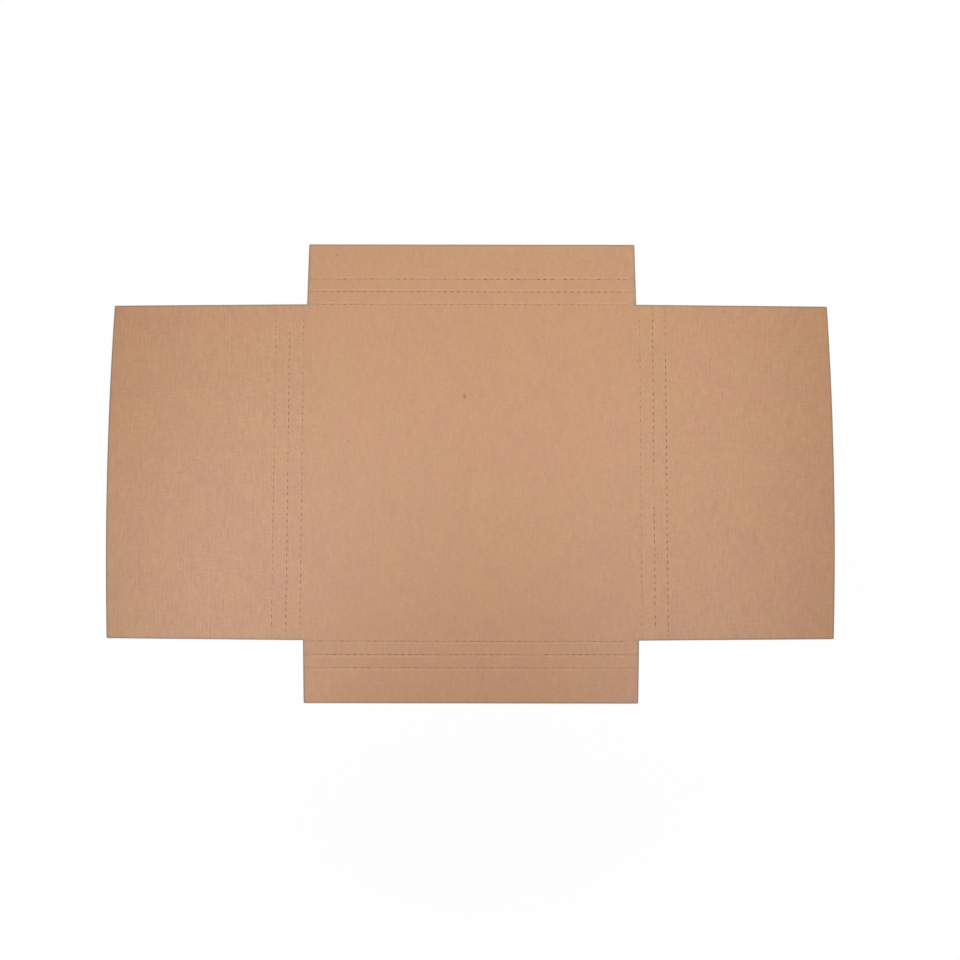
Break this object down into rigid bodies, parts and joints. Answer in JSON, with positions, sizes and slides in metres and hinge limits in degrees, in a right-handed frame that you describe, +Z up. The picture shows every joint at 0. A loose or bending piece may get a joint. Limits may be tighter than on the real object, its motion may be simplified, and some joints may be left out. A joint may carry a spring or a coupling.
{
  "type": "flattened cardboard box",
  "caption": "Flattened one-piece corrugated box blank: square base panel with side and end flaps on perforated creases, which fold up into a shallow mailer.",
  "frame": {"origin": "middle of the base panel, on the underside of the board", "axes": "+X across the base panel to the right side flap, +Y along the flutes to the rear end flap, +Z up out of the board's inner face"},
  "size_m": [0.6882, 0.4362, 0.002],
  "materials": {
    "kraft_board": "matt uncoated kraft with faint flute lines"
  },
  "bodies": {
    "base_panel": {"base_panel": "kraft_board"},
    "left_side_flap": {"left_side_flap": "kraft_board"},
    "right_side_flap": {"right_side_flap": "kraft_board"},
    "rear_end_flap": {"rear_end_flap": "kraft_board"},
    "front_end_flap": {"front_end_flap": "kraft_board"}
  },
  "joints": [
    {"name": "left_side_flap_fold", "type": "hinge", "parent": "base_panel", "child": "left_side_flap", "pos_m": [-0.161, 0, 0.002], "axis": [0, 1, 0], "range_deg": [0, 90]},
    {"name": "right_side_flap_fold", "type": "hinge", "parent": "base_panel", "child": "right_side_flap", "pos_m": [0.161, 0, 0.002], "axis": [0, -1, 0], "range_deg": [0, 90]},
    {"name": "rear_end_flap_fold", "type": "hinge", "parent": "base_panel", "child": "rear_end_flap", "pos_m": [0, 0.15965, 0.002], "axis": [1, 0, 0], "range_deg": [0, 90]},
    {"name": "front_end_flap_fold", "type": "hinge", "parent": "base_panel", "child": "front_end_flap", "pos_m": [0, -0.15965, 0.002], "axis": [-1, 0, 0], "range_deg": [0, 90]}
  ]
}
